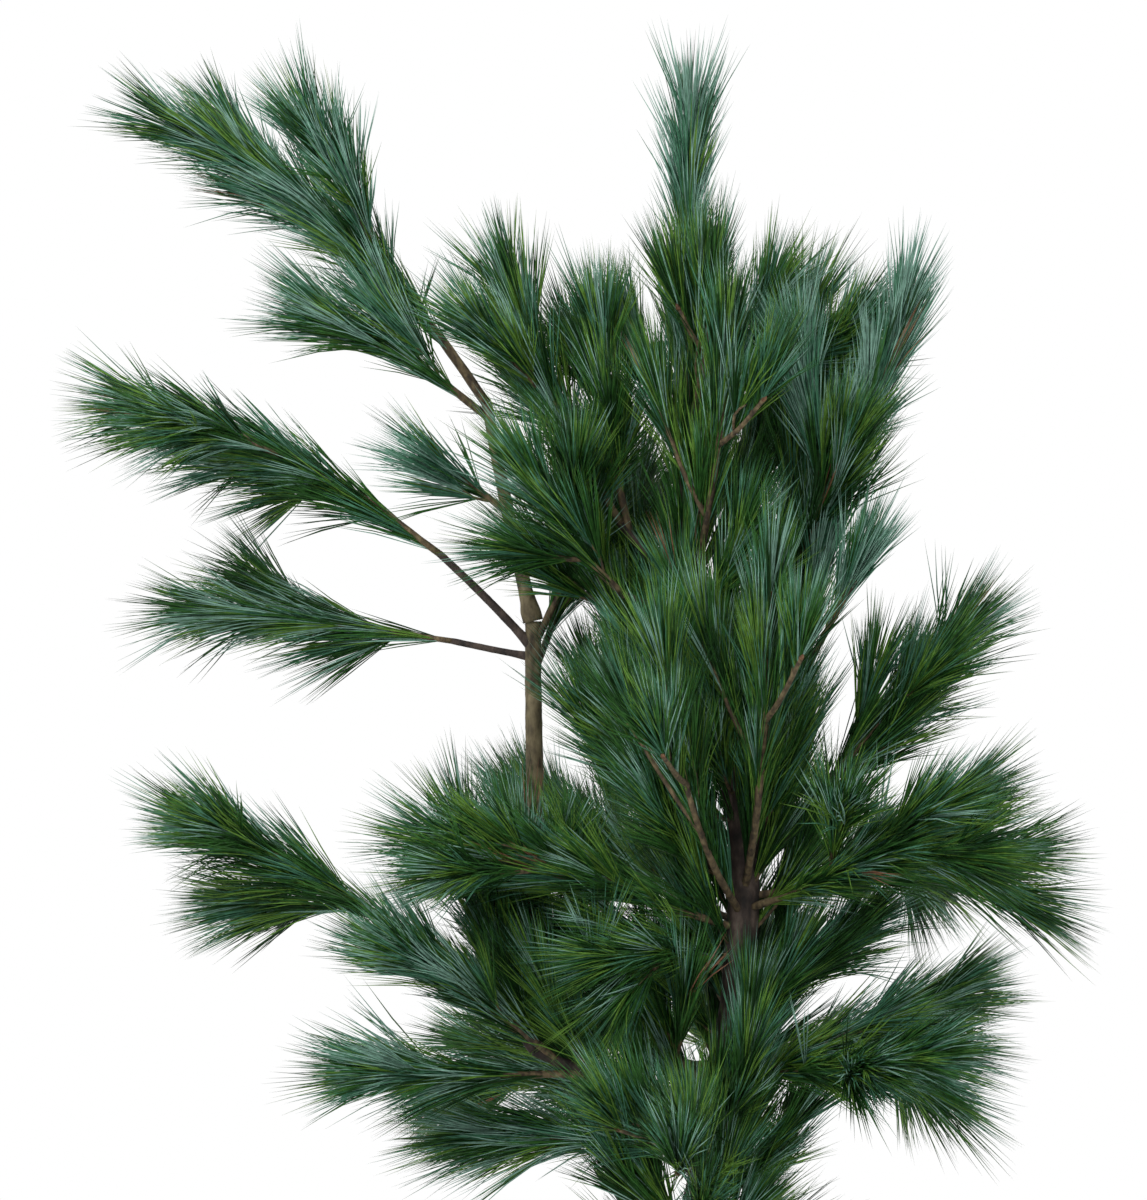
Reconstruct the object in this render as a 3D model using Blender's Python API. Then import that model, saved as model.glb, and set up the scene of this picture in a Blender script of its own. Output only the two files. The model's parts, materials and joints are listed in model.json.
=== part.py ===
"""A young eastern white pine, about 1.2 m tall, rooted in the ground.

Metres, +Z up. The origin is the centre of the flat cut under the trunk, at ground level.
-Y is the front, +X is to the right. An azimuth turns from +X (right, 0) through +Y (back, 90)
and -X (left, 180) to -Y (front, 270). A rise is an angle above level. Both are in degrees.

The trunk carries its boughs in whorls, one whorl for each year. A bough is the bare limb, and
the mass of needles beyond it is one stem with side twigs and flat sprays of three needles.
"""

import math
import random
from collections import namedtuple

import bmesh
import bpy
from mathutils import Matrix, Vector
from mathutils.bvhtree import BVHTree

# Trunk: (height, x, y) of its centre, from the foot to the top whorl
TRUNK_LINE = (
    (0.000, 0.000, 0.000),
    (0.090, 0.004, 0.002),
    (0.190, 0.013, 0.003),
    (0.310, 0.038, 0.000),
    (0.430, 0.053, -0.002),
    (0.495, 0.057, 0.000),
    (0.600, 0.042, 0.003),
    (0.710, 0.012, 0.004),
    (0.790, 0.011, 0.001),
    (0.860, 0.015, 0.000),
)
TRUNK_HEIGHT = TRUNK_LINE[-1][0]
TRUNK_RINGS = 26
TRUNK_SIDES = 12
FOOT_RADIUS = 0.0160
TOP_RADIUS = 0.0058
FLARE = 0.0085
FLARE_HEIGHT = 0.028
FLARE_LOBES = 3
FLARE_LOBE_DEPTH = 0.12

# Boughs
BOUGH_SIDES = 7
BOUGH_STEP = 0.026

# Stems and side twigs inside the needle masses
STEM_SIDES = 3
STEM_STEP = 0.085
STEM_RADIUS = 0.0034
STEM_TIP_RADIUS = 0.0020
TWIG_RADIUS = 0.0026
TWIG_TIP_RADIUS = 0.0017
TWIG_SPREAD = 38
TWIG_SPREAD_JITTER = 5
TWIG_CURL = 0.12
TWIG_SHARE = 0.46
TWIG_BARE = 0.10
FIRST_TWIG_PLACE = 0.22
TWIG_PLACE_SPAN = 0.50
TWIG_STEP_SPAN = (0.2, 0.8)
GOLDEN_ANGLE = 137.5

# Sprays of three needles: (along, across) of the tips and notches, as shares of the length
NEEDLE_LENGTH = 0.098
NEEDLE_LENGTH_SPAN = (0.88, 1.04)
SPRAY_OUTER_TIP = (0.90, 0.220)
SPRAY_NOTCH = (0.68, 0.070)
SPRAY_RIDGE_PLACE = 0.30
SPRAY_THICKNESS = 0.0020
SPRAY_ROOT_DEPTH = 0.0006
SPRAY_SPACING = 0.041
SPRAY_TRIES = 10
SPRAY_TURN_STEP = 70
SPRAY_ROLL_STEP = 50
SPRAY_FREE_PLACE = 0.30
SPRAY_ANGLE_BASE = 17
SPRAY_ANGLE_TIP = 30
STEM_END_ANGLES = (5, 18, 20)
TWIG_END_ANGLES = (8, 22)
END_SPRAY_SETBACK = 0.004

# Gaps between solids
GAP = 0.0003
SPRAY_GAP = 0.0006

# Solver and share of the pieces, in the order they are tried when a mass is fused
FUSING_TRIES = (("EXACT", 1.0), ("MANIFOLD", 1.0), ("EXACT", 0.8), ("EXACT", 0.5))
SHARP_EDGE_ANGLE = 50

BARK = ("bark", (0.13, 0.085, 0.065), 0.85)
NEEDLES = ("needles", (0.055, 0.14, 0.075), 0.6)

Bough = namedtuple("Bough", "name parent place azimuth rise rise_tip length radius tip_radius")
Mass = namedtuple("Mass", "name parent place azimuth rise rise_tip length bare twigs turn")
Shape = namedtuple("Shape", "points faces low high tree")

# A place on the trunk is a height in metres, and on a bough it is a share of its length
BOUGHS = (
    Bough("bough_left_stem_foot", "trunk", 0.336, 168, 0, 88, 0.235, 0.0084, 0.0074),
    Bough("bough_left_stem", "bough_left_stem_foot", 1.0, 180, 88, 90, 0.215, 0.0074, 0.0066),
    Bough("bough_left_stem_top", "bough_left_stem", 1.0, 180, 76, 80, 0.180, 0.0062, 0.0044),
    Bough("bough_left_rising", "bough_left_stem", 0.90, 187, 48, 42, 0.108, 0.0036, 0.0030),
    Bough("bough_left_level", "bough_left_stem", 0.865, 171, 10, 12, 0.068, 0.0028, 0.0025),
    Bough("bough_low_left", "trunk", 0.305, 192, 14, 26, 0.160, 0.0062, 0.0048),
    Bough("bough_low_left_rising", "bough_low_left", 1.0, 184, 54, 34, 0.132, 0.0034, 0.0029),
    Bough("bough_middle_left", "trunk", 0.482, 190, 32, 88, 0.124, 0.0052, 0.0040),
    Bough("bough_middle_right", "trunk", 0.505, 350, 64, 88, 0.145, 0.0064, 0.0050),
    Bough("bough_right_rising", "trunk", 0.492, 6, 42, 55, 0.112, 0.0044, 0.0034),
    Bough("bough_upper_left", "trunk", 0.722, 184, 44, 50, 0.075, 0.0042, 0.0036),
    Bough("bough_upper_left_level", "trunk", 0.700, 216, 14, 20, 0.070, 0.0036, 0.0031),
)

# Bare is the share of the stem's foot with no needles. Twigs branch from the rest of it, the
# first at this turn round the stem: 0 is on its upper side, 90 to the right as it points away.
MASSES = (
    Mass("needles_leader", "trunk", 0.860, 180, 88, 92, 0.235, 0.10, 0, 0),
    Mass("needles_top_left", "trunk", 0.846, 176, 48, 70, 0.085, 0.20, 0, 0),
    Mass("needles_top_right", "trunk", 0.836, 8, 52, 72, 0.130, 0.20, 1, 180),
    Mass("needles_top_front", "trunk", 0.850, 285, 48, 76, 0.120, 0.20, 1, 90),
    Mass("needles_top_back", "trunk", 0.842, 92, 45, 66, 0.130, 0.20, 1, 180),
    Mass("needles_left_plume", "bough_left_rising", 1.0, 187, 40, 14, 0.258, 0.0, 2, 120),
    Mass("needles_left_level_plume", "bough_left_level", 1.0, 173, 9, 5, 0.190, 0.0, 1, 60),
    Mass("needles_top_left_plume", "bough_left_stem_top", 1.0, 176, 58, 26, 0.335, 0.12, 2, 300),
    Mass("needles_left_stem_side", "bough_left_stem_top", 0.93, 193, 40, 26, 0.145, 0.10, 1, 20),
    Mass("needles_left_stem_tuft", "bough_left_stem_top", 0.50, 198, 38, 30, 0.055, 0.10, 0, 0),
    Mass("needles_right_spire", "bough_middle_right", 0.80, 346, 75, 72, 0.335, 0.15, 1, 20),
    Mass("needles_right_top", "bough_middle_right", 1.0, 45, 84, 74, 0.270, 0.05, 2, 60),
    Mass("needles_right_small", "bough_middle_right", 0.62, 318, 72, 50, 0.160, 0.38, 0, 0),
    Mass("needles_right_plume", "trunk", 0.478, 352, 10, 10, 0.200, 0.30, 2, 60),
    Mass("needles_right_upper_plume", "bough_right_rising", 1.0, 8, 50, 44, 0.140, 0.05, 1, 90),
    Mass("needles_right_inner", "bough_right_rising", 0.45, 335, 80, 88, 0.070, 0.15, 0, 0),
    Mass("needles_right_low_plume", "trunk", 0.345, 350, 9, 6, 0.150, 0.28, 2, 50),
    Mass("needles_right_low_rising", "trunk", 0.375, 12, 34, 36, 0.120, 0.25, 0, 0),
    Mass("needles_low_left_plume", "bough_low_left_rising", 1.0, 184, 33, 22, 0.178, 0.0, 2, 150),
    Mass("needles_low_left_upper", "bough_low_left", 0.86, 218, 38, 26, 0.165, 0.10, 1, 90),
    Mass("needles_low_left_lower", "bough_low_left", 0.70, 206, 2, 2, 0.170, 0.16, 1, 90),
    Mass("needles_left_front_plume", "trunk", 0.452, 206, 18, 14, 0.260, 0.25, 2, 110),
    Mass("needles_middle_left", "bough_middle_left", 1.0, 176, 74, 62, 0.190, 0.0, 2, 90),
    Mass("needles_upper_left", "bough_upper_left", 1.0, 184, 56, 72, 0.200, 0.05, 2, 90),
    Mass("needles_upper_left_inner", "bough_upper_left", 0.86, 215, 72, 86, 0.160, 0.10, 1, 90),
    Mass("needles_upper_left_level", "bough_upper_left_level", 1.0, 210, 34, 64, 0.115, 0.05, 1, 180),
    Mass("needles_upper_right", "trunk", 0.724, 28, 48, 78, 0.245, 0.20, 1, 90),
    Mass("needles_upper_front", "trunk", 0.712, 285, 45, 78, 0.230, 0.15, 2, 60),
    Mass("needles_upper_back", "trunk", 0.705, 80, 35, 60, 0.240, 0.20, 2, 60),
    Mass("needles_upper_back_left", "trunk", 0.692, 132, 38, 60, 0.180, 0.20, 1, 90),
    Mass("needles_left_stem_right", "bough_left_stem", 0.90, 335, 58, 80, 0.170, 0.12, 1, 90),
    Mass("needles_left_stem_back", "bough_left_stem", 0.80, 68, 40, 62, 0.170, 0.20, 1, 90),
    Mass("needles_middle_front", "trunk", 0.480, 276, 38, 84, 0.280, 0.20, 2, 60),
    Mass("needles_middle_front_left", "trunk", 0.462, 246, 30, 72, 0.260, 0.20, 2, 60),
    Mass("needles_middle_front_right", "trunk", 0.468, 312, 14, 32, 0.220, 0.20, 2, 60),
    Mass("needles_middle_back", "trunk", 0.484, 84, 30, 50, 0.290, 0.25, 2, 240),
    Mass("needles_middle_back_left", "trunk", 0.458, 126, 8, 18, 0.310, 0.30, 2, 60),
    Mass("needles_middle_back_right", "trunk", 0.466, 48, 12, 16, 0.270, 0.30, 2, 60),
    Mass("needles_low_front_left", "trunk", 0.430, 222, 6, 2, 0.130, 0.20, 2, 60),
    Mass("needles_low_front", "trunk", 0.288, 262, -4, 8, 0.260, 0.22, 2, 60),
    Mass("needles_low_front_right", "trunk", 0.334, 318, 8, 10, 0.190, 0.22, 1, 90),
    Mass("needles_low_back", "trunk", 0.330, 88, 4, 14, 0.280, 0.25, 2, 60),
    Mass("needles_low_back_left", "trunk", 0.300, 136, 4, 12, 0.270, 0.25, 2, 60),
    Mass("needles_low_back_right", "trunk", 0.345, 44, 2, 10, 0.250, 0.25, 2, 60),
    Mass("needles_bottom_left", "trunk", 0.272, 186, 10, 2, 0.180, 0.20, 1, 90),
    Mass("needles_bottom_front", "trunk", 0.190, 282, -4, 2, 0.140, 0.20, 1, 90),
    Mass("needles_bottom_back", "trunk", 0.174, 66, 2, 6, 0.160, 0.20, 1, 90),
)


def direction(azimuth, rise):
    """The unit vector at this azimuth and rise."""
    turn = math.radians(azimuth)
    tilt = math.radians(rise)
    return Vector((math.cos(turn) * math.cos(tilt), math.sin(turn) * math.cos(tilt), math.sin(tilt)))


def arc(start, limb, step):
    """The centreline of a limb whose rise turns evenly from its base to its tip."""
    count = max(2, round(limb.length / step))
    points = [start]
    for i in range(count):
        rise = limb.rise + (limb.rise_tip - limb.rise) * (i + 0.5) / count
        points.append(points[-1] + direction(limb.azimuth, rise) * (limb.length / count))
    return points


def trunk_line():
    """Evenly spaced points on a smooth curve through the trunk's stations."""
    points = [Vector((x, y, height)) for height, x, y in TRUNK_LINE]
    ends = [2 * points[0] - points[1]] + points + [2 * points[-1] - points[-2]]
    line = []
    for i in range(TRUNK_RINGS):
        height = TRUNK_HEIGHT * i / (TRUNK_RINGS - 1)
        k = max(j for j in range(len(points) - 1) if points[j].z <= height)
        t = (height - points[k].z) / (points[k + 1].z - points[k].z)
        p0, p1, p2, p3 = ends[k : k + 4]
        slope = (p2 - p0) * t
        bend = (2 * p0 - 5 * p1 + 4 * p2 - p3) * t**2
        twist = (3 * p1 - p0 - 3 * p2 + p3) * t**3
        point = p1 + (slope + bend + twist) / 2
        point.z = height
        line.append(point)
    return line


def tangents(line):
    """The unit direction of the line at each of its points."""
    last = len(line) - 1
    return [(line[min(i + 1, last)] - line[max(i - 1, 0)]).normalized() for i in range(last + 1)]


def along(line, share):
    """The point and the direction at this share of the line's length."""
    pairs = list(zip(line, line[1:]))
    left = share * sum((b - a).length for a, b in pairs)
    for a, b in pairs:
        length = (b - a).length
        if left <= length:
            return a.lerp(b, left / length), (b - a).normalized()
        left -= length
    a, b = pairs[-1]
    return b.copy(), (b - a).normalized()


def at_height(line, height):
    """The point of the trunk's centreline at this height."""
    for a, b in zip(line, line[1:]):
        if height <= b.z:
            return a.lerp(b, (height - a.z) / (b.z - a.z))
    return line[-1].copy()


def turned(axis, angle, turn):
    """The unit vector at this angle from the axis, at this turn from the axis's upper side."""
    right = axis.cross(Vector((0, 0, 1))).normalized()
    upper = right.cross(axis)
    across = upper * math.cos(math.radians(turn)) + right * math.sin(math.radians(turn))
    return axis * math.cos(math.radians(angle)) + across * math.sin(math.radians(angle))


def taper(start, end, count):
    """Evenly tapering radii."""
    return [start + (end - start) * i / (count - 1) for i in range(count)]


def tube(line, radii, sides, level_foot=False, swell=None):
    """Points and faces of a closed tapering tube. Swell is a factor by ring and angle."""
    axes = tangents(line)
    if level_foot:
        axes[0] = Vector((0, 0, 1))
    side = axes[0].orthogonal().normalized()
    points = []
    for i, (centre, axis, radius) in enumerate(zip(line, axes, radii)):
        side = (side - axis * side.dot(axis)).normalized()
        across = axis.cross(side)
        for k in range(sides):
            angle = 2 * math.pi * k / sides
            reach = radius * (swell(i, angle) if swell else 1)
            points.append(centre + (side * math.cos(angle) + across * math.sin(angle)) * reach)
    faces = [tuple(reversed(range(sides)))]
    for i in range(len(line) - 1):
        low = i * sides
        for k in range(sides):
            after = (k + 1) % sides
            faces.append((low + k, low + after, low + sides + after, low + sides + k))
    top = (len(line) - 1) * sides
    faces.append(tuple(range(top, top + sides)))
    return points, faces


def trunk_shape(line, grow=0.0):
    """Points and faces of the trunk, with a root flare of a few lobes. Grow widens a cutter."""
    radii = []
    for point in line:
        wood = FOOT_RADIUS + (TOP_RADIUS - FOOT_RADIUS) * point.z / TRUNK_HEIGHT
        radii.append(wood + FLARE * math.exp(-point.z / FLARE_HEIGHT) + grow)

    def lobes(ring, angle):
        fade = math.exp(-line[ring].z / FLARE_HEIGHT)
        return 1 + FLARE_LOBE_DEPTH * fade * math.cos(FLARE_LOBES * angle)

    drawn = line[:-1] + [line[-1] + Vector((0, 0, grow))]
    return tube(drawn, radii, TRUNK_SIDES, level_foot=True, swell=lobes)


def bough_shape(line, bough, grow=0.0):
    """Points and faces of a bough. Grow widens a cutter and takes it past the tip."""
    radii = [radius + grow for radius in taper(bough.radius, bough.tip_radius, len(line))]
    past_tip = line[-1] + (line[-1] - line[-2]).normalized() * grow
    return tube(line[:-1] + [past_tip], radii, BOUGH_SIDES)


def spray(root, heading, roll, length, grow=0.0):
    """Points and faces of a spray: a blade with three teeth, a flat back and one ridge."""
    flat = Matrix.Rotation(math.radians(roll), 3, heading) @ heading.orthogonal().normalized()
    normal = heading.cross(flat)
    tip_along, tip_across = SPRAY_OUTER_TIP
    notch_along, notch_across = SPRAY_NOTCH
    start = root - heading * SPRAY_ROOT_DEPTH

    def place(share, across, lift=0.0):
        side = math.copysign(grow, across) if across else 0.0
        return start + heading * (share * length) + flat * (across * length + side) + normal * lift

    outline = [
        start,
        place(tip_along, tip_across),
        place(notch_along, notch_across),
        place(1.0, 0.0),
        place(notch_along, -notch_across),
        place(tip_along, -tip_across),
    ]
    count = len(outline)
    ridge = place(SPRAY_RIDGE_PLACE, 0.0, SPRAY_THICKNESS + grow)
    faces = [((i + 1) % count, i, count) for i in range(count)]
    faces.append(tuple(range(count)))
    return outline + [ridge], faces


def shape(points_and_faces):
    """A shape that can be tested for touching others."""
    points, faces = points_and_faces
    low = [min(p[i] for p in points) for i in range(3)]
    high = [max(p[i] for p in points) for i in range(3)]
    return Shape(points, faces, low, high, BVHTree.FromPolygons(points, faces))


def touching(a, b):
    """Whether the surfaces of two shapes meet."""
    if any(a.low[i] > b.high[i] or b.low[i] > a.high[i] for i in range(3)):
        return False
    return bool(a.tree.overlap(b.tree))


def twig_lines(mass, line, rng):
    """Centrelines of the side twigs of a mass's stem, turned round it by a seeded rule."""
    twigs = []
    for i in range(mass.twigs):
        step = (i + rng.uniform(*TWIG_STEP_SPAN)) / mass.twigs
        share = mass.bare + (1 - mass.bare) * (FIRST_TWIG_PLACE + TWIG_PLACE_SPAN * step)
        foot, axis = along(line, share)
        angle = TWIG_SPREAD + rng.uniform(-TWIG_SPREAD_JITTER, TWIG_SPREAD_JITTER)
        heading = turned(axis, angle, mass.turn + GOLDEN_ANGLE * i)
        length = mass.length * (1 - share / 2) * TWIG_SHARE
        middle = foot + heading * length / 2
        twigs.append([foot, middle, middle + heading * length / 2 + axis * length * TWIG_CURL])
    return twigs


def spray_places(line, bare, end_angles, rng):
    """Root, stem axis, angle, turn, roll and length of each spray along a limb, tip first."""
    first_turn = rng.uniform(0, 360)
    length = sum((b - a).length for a, b in zip(line, line[1:]))
    tip_root, tip_axis = along(line, 1 - END_SPRAY_SETBACK / length)
    places = []
    for i, angle in enumerate(end_angles):
        places.append((tip_root, tip_axis, angle, first_turn + 360 * i / len(end_angles)))
    count = max(1, round(length * (1 - bare) / SPRAY_SPACING))
    for i in range(count):
        step = (i + 0.5) / count
        root, axis = along(line, bare + (1 - bare) * step)
        angle = SPRAY_ANGLE_BASE + (SPRAY_ANGLE_TIP - SPRAY_ANGLE_BASE) * step
        places.append((root, axis, angle, first_turn + GOLDEN_ANGLE * (i + 1)))
    return [(*place, rng.uniform(0, 180), NEEDLE_LENGTH * rng.uniform(*NEEDLE_LENGTH_SPAN)) for place in places]


def material(name, colour, roughness):
    """A plain Principled BSDF material."""
    made = bpy.data.materials.new(name)
    made.use_nodes = True
    shader = made.node_tree.nodes["Principled BSDF"]
    shader.inputs["Base Color"].default_value = (*colour, 1.0)
    shader.inputs["Roughness"].default_value = roughness
    shader.inputs["Metallic"].default_value = 0.0
    return made


def new_object(name, points_and_faces, finish=None):
    """A mesh object from points and faces."""
    points, faces = points_and_faces
    mesh = bpy.data.meshes.new(name)
    mesh.from_pydata([tuple(p) for p in points], [], faces)
    mesh.update()
    if finish:
        mesh.materials.append(material(name + "_" + finish[0], *finish[1:]))
    made = bpy.data.objects.new(name, mesh)
    bpy.context.scene.collection.objects.link(made)
    return made


def remove_object(unwanted):
    """Take an object and its mesh out of the file."""
    mesh = unwanted.data
    bpy.data.objects.remove(unwanted)
    bpy.data.meshes.remove(mesh)


def apply_boolean(target, operation, operand, solver):
    """Apply one Boolean with an object or with a collection of objects."""
    boolean = target.modifiers.new("fuse", "BOOLEAN")
    boolean.operation = operation
    boolean.solver = solver
    if isinstance(operand, bpy.types.Collection):
        boolean.operand_type = "COLLECTION"
        boolean.collection = operand
    else:
        boolean.object = operand
    depsgraph = bpy.context.evaluated_depsgraph_get()
    made = bpy.data.meshes.new_from_object(target.evaluated_get(depsgraph))
    target.modifiers.clear()
    old = target.data
    target.data = made
    bpy.data.meshes.remove(old)
    made.name = target.name


def keep_largest_body(target):
    """Drop loose scraps and sealed hollows, and tell whether what is left is closed."""
    edit = bmesh.new()
    edit.from_mesh(target.data)
    bodies = []
    waiting = set(edit.verts)
    while waiting:
        first = waiting.pop()
        body = {first}
        front = [first]
        while front:
            for edge in front.pop().link_edges:
                for vert in edge.verts:
                    if vert not in body:
                        body.add(vert)
                        front.append(vert)
        waiting -= body
        bodies.append(body)
    largest = max(bodies, key=len)
    loose = [vert for body in bodies if body is not largest for vert in body]
    bmesh.ops.delete(edit, geom=loose, context="VERTS")
    bmesh.ops.triangulate(edit, faces=edit.faces[:])
    closed = all(len(edge.link_faces) == 2 for edge in edit.edges) and edit.calc_volume(signed=True) > 0
    edit.to_mesh(target.data)
    edit.free()
    target.data.update()
    return closed


def cut_clear(target, cutter_shape):
    """Cut away the part of a limb that lies inside its parent, and a small gap round it."""
    cutter = new_object(target.name + "_cutter", cutter_shape)
    cutter.hide_render = True
    cutter.display_type = "WIRE"
    apply_boolean(target, "DIFFERENCE", cutter, "EXACT")
    remove_object(cutter)


def fused_mass(name, stem, pieces, cutter_shape, solver):
    """One solid of a stem with its twigs and sprays, cut clear of its parent."""
    target = new_object(name, stem, NEEDLES)
    group = bpy.data.collections.new(name + "_pieces")
    bpy.context.scene.collection.children.link(group)
    for i, piece in enumerate(pieces):
        made = new_object(f"{name}_piece_{i}", piece)
        bpy.context.scene.collection.objects.unlink(made)
        group.objects.link(made)
    apply_boolean(target, "UNION", group, solver)
    for made in list(group.objects):
        remove_object(made)
    bpy.data.collections.remove(group)
    cut_clear(target, cutter_shape)
    return target, keep_largest_body(target)


def build_mass(name, stem, pieces, cutter_shape):
    """Fuse a mass, with the other solver or with fewer pieces where the result isn't closed."""
    for solver, share in FUSING_TRIES:
        kept = pieces[: round(len(pieces) * share)]
        target, closed = fused_mass(name, stem, kept, cutter_shape, solver)
        if closed:
            return
        remove_object(target)


def limb_start(limb, lines):
    """Where a limb leaves its parent's centreline."""
    parent = lines[limb.parent]
    if limb.parent == "trunk":
        return at_height(parent, limb.place)
    return along(parent, limb.place)[0]


def shade_round(limb):
    """Shade a round limb smooth, with sharp rims round its flat ends."""
    limb.data.shade_smooth()
    limb.data.set_sharp_from_angle(angle=math.radians(SHARP_EDGE_ANGLE))


def build_trunk_and_boughs():
    """Make the trunk and the boughs. Return each one's centreline, shape and cutter."""
    lines = {"trunk": trunk_line()}
    shapes = {"trunk": shape(trunk_shape(lines["trunk"]))}
    cutters = {"trunk": trunk_shape(lines["trunk"], GAP)}
    shade_round(new_object("trunk", trunk_shape(lines["trunk"]), BARK))
    for bough in BOUGHS:
        line = arc(limb_start(bough, lines), bough, BOUGH_STEP)
        lines[bough.name] = line
        shapes[bough.name] = shape(bough_shape(line, bough))
        cutters[bough.name] = bough_shape(line, bough, GAP)
        made = new_object(bough.name, bough_shape(line, bough), BARK)
        shade_round(made)
        cut_clear(made, cutters[bough.parent])
        keep_largest_body(made)
    return lines, shapes, cutters


def stem_tube(line, radius, tip_radius):
    """Points and faces of a three-sided stem or twig."""
    return tube(line, taper(radius, tip_radius, len(line)), STEM_SIDES)


def blade_with_room(place, others, own):
    """A spray turned and rolled until it has room, or None. Near its root it may meet its own mass."""
    root, axis, angle, turn, roll, span = place
    for i in range(SPRAY_TRIES):
        heading = turned(axis, angle, turn + SPRAY_TURN_STEP * (i // 2))
        rolled = roll + SPRAY_ROLL_STEP * i
        free_root = root + heading * span * SPRAY_FREE_PLACE
        free_part = shape(spray(free_root, heading, rolled, span * (1 - SPRAY_FREE_PLACE)))
        if any(touching(free_part, piece) for piece in own):
            continue
        blade = shape(spray(root, heading, rolled, span))
        room = shape(spray(root, heading, rolled, span, SPRAY_GAP))
        if not any(touching(room, other) or touching(blade, other) for other in others):
            return blade
    return None


def build_masses(lines, shapes, cutters):
    """Lay out every stem and twig, then give each mass the sprays that have room, and fuse it."""
    taken = [(name, shapes[name]) for name in shapes]
    laid_out = []
    for mass in MASSES:
        line = arc(limb_start(mass, lines), mass, STEM_STEP)
        stem = shape(stem_tube(line, STEM_RADIUS, STEM_TIP_RADIUS))
        taken.append((mass.name, stem))
        laid_out.append((mass, line, stem))
    grown = []
    for mass, line, stem in laid_out:
        rng = random.Random(mass.name)
        limbs = [(line, mass.bare, STEM_END_ANGLES)]
        pieces = []
        for twig_line in twig_lines(mass, line, rng):
            twig = shape(stem_tube(twig_line, TWIG_RADIUS, TWIG_TIP_RADIUS))
            if any(owner != mass.name and touching(twig, other) for owner, other in taken):
                continue
            taken.append((mass.name, twig))
            pieces.append(twig)
            limbs.append((twig_line, TWIG_BARE, TWIG_END_ANGLES))
        grown.append((mass, stem, pieces, limbs, rng))
    for mass, stem, pieces, limbs, rng in grown:
        others = [other for owner, other in taken if owner != mass.name]
        for line, bare, end_angles in limbs:
            for place in spray_places(line, bare, end_angles, rng):
                blade = blade_with_room(place, others, [stem] + pieces)
                if blade:
                    taken.append((mass.name, blade))
                    pieces.append(blade)
        solids = [(piece.points, piece.faces) for piece in pieces]
        build_mass(mass.name, (stem.points, stem.faces), solids, cutters[mass.parent])


def clear_scene():
    """Start from nothing."""
    for old in list(bpy.data.objects):
        bpy.data.objects.remove(old)


clear_scene()
build_masses(*build_trunk_and_boughs())
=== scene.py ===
"""The looks of a young eastern white pine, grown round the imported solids.

Metres, +Z up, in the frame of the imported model. -Y is the front, +X is to the right.
The trunk, the boughs and the stems of the needle masses follow the rule of the part's source,
written again here. It is carried on to finer twigs, bundles of five needles, buds and bark.
"""

import json
import math
import random
from collections import namedtuple

import bpy
import numpy as np
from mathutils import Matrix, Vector, noise

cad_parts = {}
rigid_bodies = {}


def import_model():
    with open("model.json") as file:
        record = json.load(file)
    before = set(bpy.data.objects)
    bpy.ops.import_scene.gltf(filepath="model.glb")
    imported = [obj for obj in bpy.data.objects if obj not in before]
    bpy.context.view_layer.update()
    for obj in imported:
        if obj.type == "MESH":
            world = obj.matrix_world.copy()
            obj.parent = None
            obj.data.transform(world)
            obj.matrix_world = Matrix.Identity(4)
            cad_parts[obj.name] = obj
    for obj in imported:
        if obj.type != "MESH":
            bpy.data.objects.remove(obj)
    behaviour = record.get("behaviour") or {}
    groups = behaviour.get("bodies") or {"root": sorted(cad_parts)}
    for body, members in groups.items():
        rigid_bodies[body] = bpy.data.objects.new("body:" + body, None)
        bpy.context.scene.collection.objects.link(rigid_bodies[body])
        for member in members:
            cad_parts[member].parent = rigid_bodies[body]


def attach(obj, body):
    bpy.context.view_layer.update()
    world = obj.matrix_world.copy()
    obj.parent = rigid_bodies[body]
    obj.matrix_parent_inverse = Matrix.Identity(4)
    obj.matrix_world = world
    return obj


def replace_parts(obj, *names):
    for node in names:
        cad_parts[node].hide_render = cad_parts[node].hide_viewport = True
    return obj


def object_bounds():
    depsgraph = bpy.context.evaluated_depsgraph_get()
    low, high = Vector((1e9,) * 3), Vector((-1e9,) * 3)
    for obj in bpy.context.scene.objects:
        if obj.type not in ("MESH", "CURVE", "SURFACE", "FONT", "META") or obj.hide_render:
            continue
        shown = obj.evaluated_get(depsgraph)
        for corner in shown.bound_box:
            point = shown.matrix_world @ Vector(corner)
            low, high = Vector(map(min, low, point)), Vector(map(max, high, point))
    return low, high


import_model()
cad_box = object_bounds()

# Trunk: (height, x, y) of its centre, from the foot to the top whorl
TRUNK_LINE = (
    (0.000, 0.000, 0.000),
    (0.090, 0.004, 0.002),
    (0.190, 0.013, 0.003),
    (0.310, 0.038, 0.000),
    (0.430, 0.053, -0.002),
    (0.495, 0.057, 0.000),
    (0.600, 0.042, 0.003),
    (0.710, 0.012, 0.004),
    (0.790, 0.011, 0.001),
    (0.860, 0.015, 0.000),
)
TRUNK_HEIGHT = TRUNK_LINE[-1][0]
TRUNK_RINGS = 26
FOOT_RADIUS = 0.0160
TOP_RADIUS = 0.0058
FLARE = 0.0085
FLARE_HEIGHT = 0.028
FLARE_LOBES = 3
FLARE_LOBE_DEPTH = 0.12

# Stems and side twigs, as in the part's source
BOUGH_STEP = 0.026
STEM_STEP = 0.085
STEM_RADIUS = 0.0034
STEM_TIP_RADIUS = 0.0020
TWIG_RADIUS = 0.0026
TWIG_TIP_RADIUS = 0.0017
TWIG_SPREAD = 38
TWIG_SPREAD_JITTER = 5
TWIG_CURL = 0.12
TWIG_SHARE = 0.46
TWIG_BARE = 0.10
FIRST_TWIG_PLACE = 0.22
TWIG_PLACE_SPAN = 0.50
TWIG_STEP_SPAN = (0.2, 0.8)
GOLDEN_ANGLE = 137.5

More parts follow.
